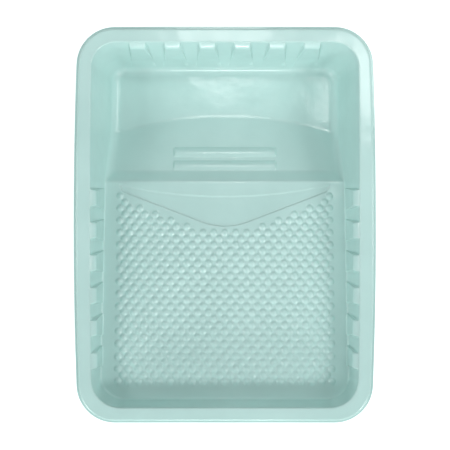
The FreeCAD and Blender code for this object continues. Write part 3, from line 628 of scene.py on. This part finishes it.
def boundary(part):
    """The edges of a set of faces that no other face of the set shares, in the faces' own direction."""
    edges = np.concatenate([part[:, (k, (k + 1) % 4)] for k in range(4)])
    edges = edges[edges[:, 0] != edges[:, 1]]
    key, back = edges[:, 0] * count + edges[:, 1], edges[:, 1] * count + edges[:, 0]
    return edges[~np.isin(key, back)]


def make_piece(name, part, normals):
    """One region as a closed mesh: its two faces, and narrow faces where it meets its neighbours."""
    rim_line = boundary(part)
    points = np.concatenate((upper, lower))
    a, b = rim_line.T
    sides = np.stack((a + count, b + count, b, a), axis=1)
    used, faces_here = np.unique(np.concatenate((part, part[:, ::-1] + count)), return_inverse=True)
    faces_here = faces_here.reshape(-1, 4)
    side_points = points[sides].reshape(-1, 3)
    out = np.cross(points[sides[:, 1]] - points[sides[:, 0]], points[sides[:, 3]] - points[sides[:, 0]])
    out /= np.maximum(np.linalg.norm(out, axis=1, keepdims=True), 1e-12)
    places = np.concatenate((points[used], side_points)) * MM
    turned = np.concatenate((normals[used], np.repeat(out, 4, axis=0)))
    corners = np.concatenate((faces_here, len(used) + np.arange(len(side_points)).reshape(-1, 4)))
    three = (corners[:, 2] == corners[:, 3]) | (corners[:, 0] == corners[:, 1])
    keep = np.ones(corners.shape, bool)
    keep[corners[:, 2] == corners[:, 3], 3] = False
    keep[corners[:, 0] == corners[:, 1], 0] = False
    sizes = np.where(three, 3, 4)
    mesh = bpy.data.meshes.new(name)
    mesh.vertices.add(len(places))
    mesh.vertices.foreach_set("co", places.ravel())
    mesh.loops.add(int(sizes.sum()))
    mesh.loops.foreach_set("vertex_index", corners[keep])
    mesh.polygons.add(len(sizes))
    mesh.polygons.foreach_set("loop_start", np.concatenate(((0,), np.cumsum(sizes)[:-1])))
    mesh.update(calc_edges=True)
    mesh.shade_smooth()
    mesh.normals_split_custom_set_from_vertices(turned.tolist())
    piece = bpy.data.objects.new(name, mesh)
    bpy.context.collection.objects.link(piece)
    return piece


region = region_numbers()
normals = point_normals()
pieces = {}
for number, name in enumerate(REGIONS):
    piece = make_piece(f"formed_{name}", faces[region == number], normals)
    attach(piece, "root")
    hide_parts(name)
    pieces[name] = piece


# ---- Materials ----


def node(tree, kind, **values):
    made = tree.nodes.new(kind)
    for name, value in values.items():
        if name in made.inputs:
            made.inputs[name].default_value = value
        else:
            setattr(made, name, value)
    return made


def plastic():
    """Thin glossy mint plastic: faint clouds in its colour, smears in its gloss, a slightly wavy skin."""
    material = bpy.data.materials.new("formed_plastic")
    material.use_nodes = True
    tree = material.node_tree
    tree.nodes.clear()
    link = tree.links.new
    where = node(tree, "ShaderNodeTexCoord").outputs["Object"]
    clouds = node(tree, "ShaderNodeTexNoise", Scale=14.0, Detail=3.0, Roughness=0.55)
    link(where, clouds.inputs["Vector"])
    tint = node(tree, "ShaderNodeValToRGB")
    tint.color_ramp.elements[0].position, tint.color_ramp.elements[1].position = 0.3, 0.72
    tint.color_ramp.elements[0].color = (0.540, 0.758, 0.728, 1)
    tint.color_ramp.elements[1].color = (0.595, 0.813, 0.783, 1)
    link(clouds.outputs["Fac"], tint.inputs["Fac"])
    smears = node(tree, "ShaderNodeTexNoise", Scale=60.0, Detail=5.0, Roughness=0.65, Distortion=0.6)
    link(where, smears.inputs["Vector"])
    gloss = node(tree, "ShaderNodeMapRange")
    for name, value in (("From Min", 0.3), ("From Max", 0.75), ("To Min", 0.10), ("To Max", 0.26)):
        gloss.inputs[name].default_value = value
    link(smears.outputs["Fac"], gloss.inputs["Value"])
    waves = node(tree, "ShaderNodeTexNoise", Scale=38.0, Detail=2.0, Roughness=0.5)
    link(where, waves.inputs["Vector"])
    grain = node(tree, "ShaderNodeTexNoise", Scale=900.0, Detail=2.0, Roughness=0.6)
    link(where, grain.inputs["Vector"])
    waviness = node(tree, "ShaderNodeBump", Strength=0.6, Distance=0.0012)
    link(waves.outputs["Fac"], waviness.inputs["Height"])
    skin = node(tree, "ShaderNodeBump", Strength=0.12, Distance=0.00012)
    link(grain.outputs["Fac"], skin.inputs["Height"])
    link(waviness.outputs["Normal"], skin.inputs["Normal"])
    surface = node(tree, "ShaderNodeBsdfPrincipled", IOR=1.58)
    link(tint.outputs["Color"], surface.inputs["Base Color"])
    link(gloss.outputs["Result"], surface.inputs["Roughness"])
    link(skin.outputs["Normal"], surface.inputs["Normal"])
    through = node(tree, "ShaderNodeBsdfTranslucent")
    link(tint.outputs["Color"], through.inputs["Color"])
    mix = node(tree, "ShaderNodeMixShader")
    mix.inputs["Fac"].default_value = 0.22
    link(surface.outputs["BSDF"], mix.inputs[1])
    link(through.outputs["BSDF"], mix.inputs[2])
    output = node(tree, "ShaderNodeOutputMaterial")
    link(mix.outputs["Shader"], output.inputs["Surface"])
    return material


shell = plastic()
for piece in pieces.values():
    piece.data.materials.append(shell)


# ---- Stage, light and camera ----


def stage_floor():
    material = bpy.data.materials.new("stage_floor")
    material.use_nodes = True
    shader = material.node_tree.nodes["Principled BSDF"]
    shader.inputs["Base Color"].default_value = (0.93, 0.93, 0.93, 1)
    shader.inputs["Roughness"].default_value = 0.9
    shader.inputs["Emission Color"].default_value = (1, 1, 1, 1)
    shader.inputs["Emission Strength"].default_value = 0.4
    mesh = bpy.data.meshes.new("stage_floor")
    half, level = 6.0, -0.0003
    turns = ((-half, -half), (half, -half), (half, half), (-half, half))
    mesh.from_pydata([(x, y, level) for x, y in turns], [], [(0, 1, 2, 3)])
    mesh.materials.append(material)
    floor = bpy.data.objects.new("stage_floor", mesh)
    bpy.context.collection.objects.link(floor)


def softbox(azimuth, elevation, half_angle, radiance, distance):
    """A round soft light aimed at the tray, sized by the angle it fills and by how bright it looks."""
    a, e = math.radians(azimuth), math.radians(elevation)
    place = distance * Vector((math.cos(a) * math.cos(e), math.sin(a) * math.cos(e), math.sin(e)))
    radius = distance * math.tan(math.radians(half_angle))
    name = f"softbox_{azimuth}_{elevation}"
    data = bpy.data.lights.new(name, "AREA")
    data.shape, data.size, data.energy = "DISK", 2 * radius, radiance * (math.pi * radius) ** 2
    lamp = bpy.data.objects.new(name, data)
    lamp.location = place
    lamp.rotation_euler = (-place).to_track_quat("-Z", "Y").to_euler()
    lamp.visible_camera = False
    bpy.context.collection.objects.link(lamp)


def studio_world():
    """A pale backdrop that is dimmer overhead."""
    world = bpy.data.worlds.new("studio")
    world.use_nodes = True
    tree = world.node_tree
    split = node(tree, "ShaderNodeSeparateXYZ")
    tree.links.new(node(tree, "ShaderNodeTexCoord").outputs["Generated"], split.inputs["Vector"])
    ramp = node(tree, "ShaderNodeValToRGB")
    ramp.color_ramp.elements[0].position, ramp.color_ramp.elements[1].position = 0.12, 0.32
    ramp.color_ramp.elements[0].color = (0.82, 0.83, 0.84, 1)
    ramp.color_ramp.elements[1].color = (0.25, 0.255, 0.26, 1)
    tree.links.new(split.outputs["Z"], ramp.inputs["Fac"])
    tree.links.new(ramp.outputs["Color"], tree.nodes["Background"].inputs["Color"])
    return world


SOFTBOXES = (
    # azimuth, elevation, half angle, radiance, distance
    (315, 40, 6, 28.0, 6.0), (225, 40, 6, 18.0, 6.0), (225, 18, 6, 17.0, 6.0),
    (270, 18, 6, 17.0, 6.0), (315, 18, 6, 8.0, 6.0), (0, 40, 6, 11.0, 6.0),
    (180, 40, 6, 11.0, 6.0), (45, 58, 7, 7.2, 0.75), (90, 62, 7, 6.8, 0.9),
)

stage_floor()
for box in SOFTBOXES:
    softbox(*box)
scene = bpy.context.scene
scene.world = studio_world()
scene.view_settings.view_transform = "Standard"

CAMERA_ABOVE_RIM = 600
camera_data = bpy.data.cameras.new("camera")
camera_data.lens, camera_data.sensor_width = 50.16, 36.0
camera = bpy.data.objects.new("camera", camera_data)
camera.location = (0.0002, -0.0002, (HEIGHT + CAMERA_ABOVE_RIM) * MM)
camera.rotation_euler = (0, 0, 0)
bpy.context.collection.objects.link(camera)
scene.camera = camera
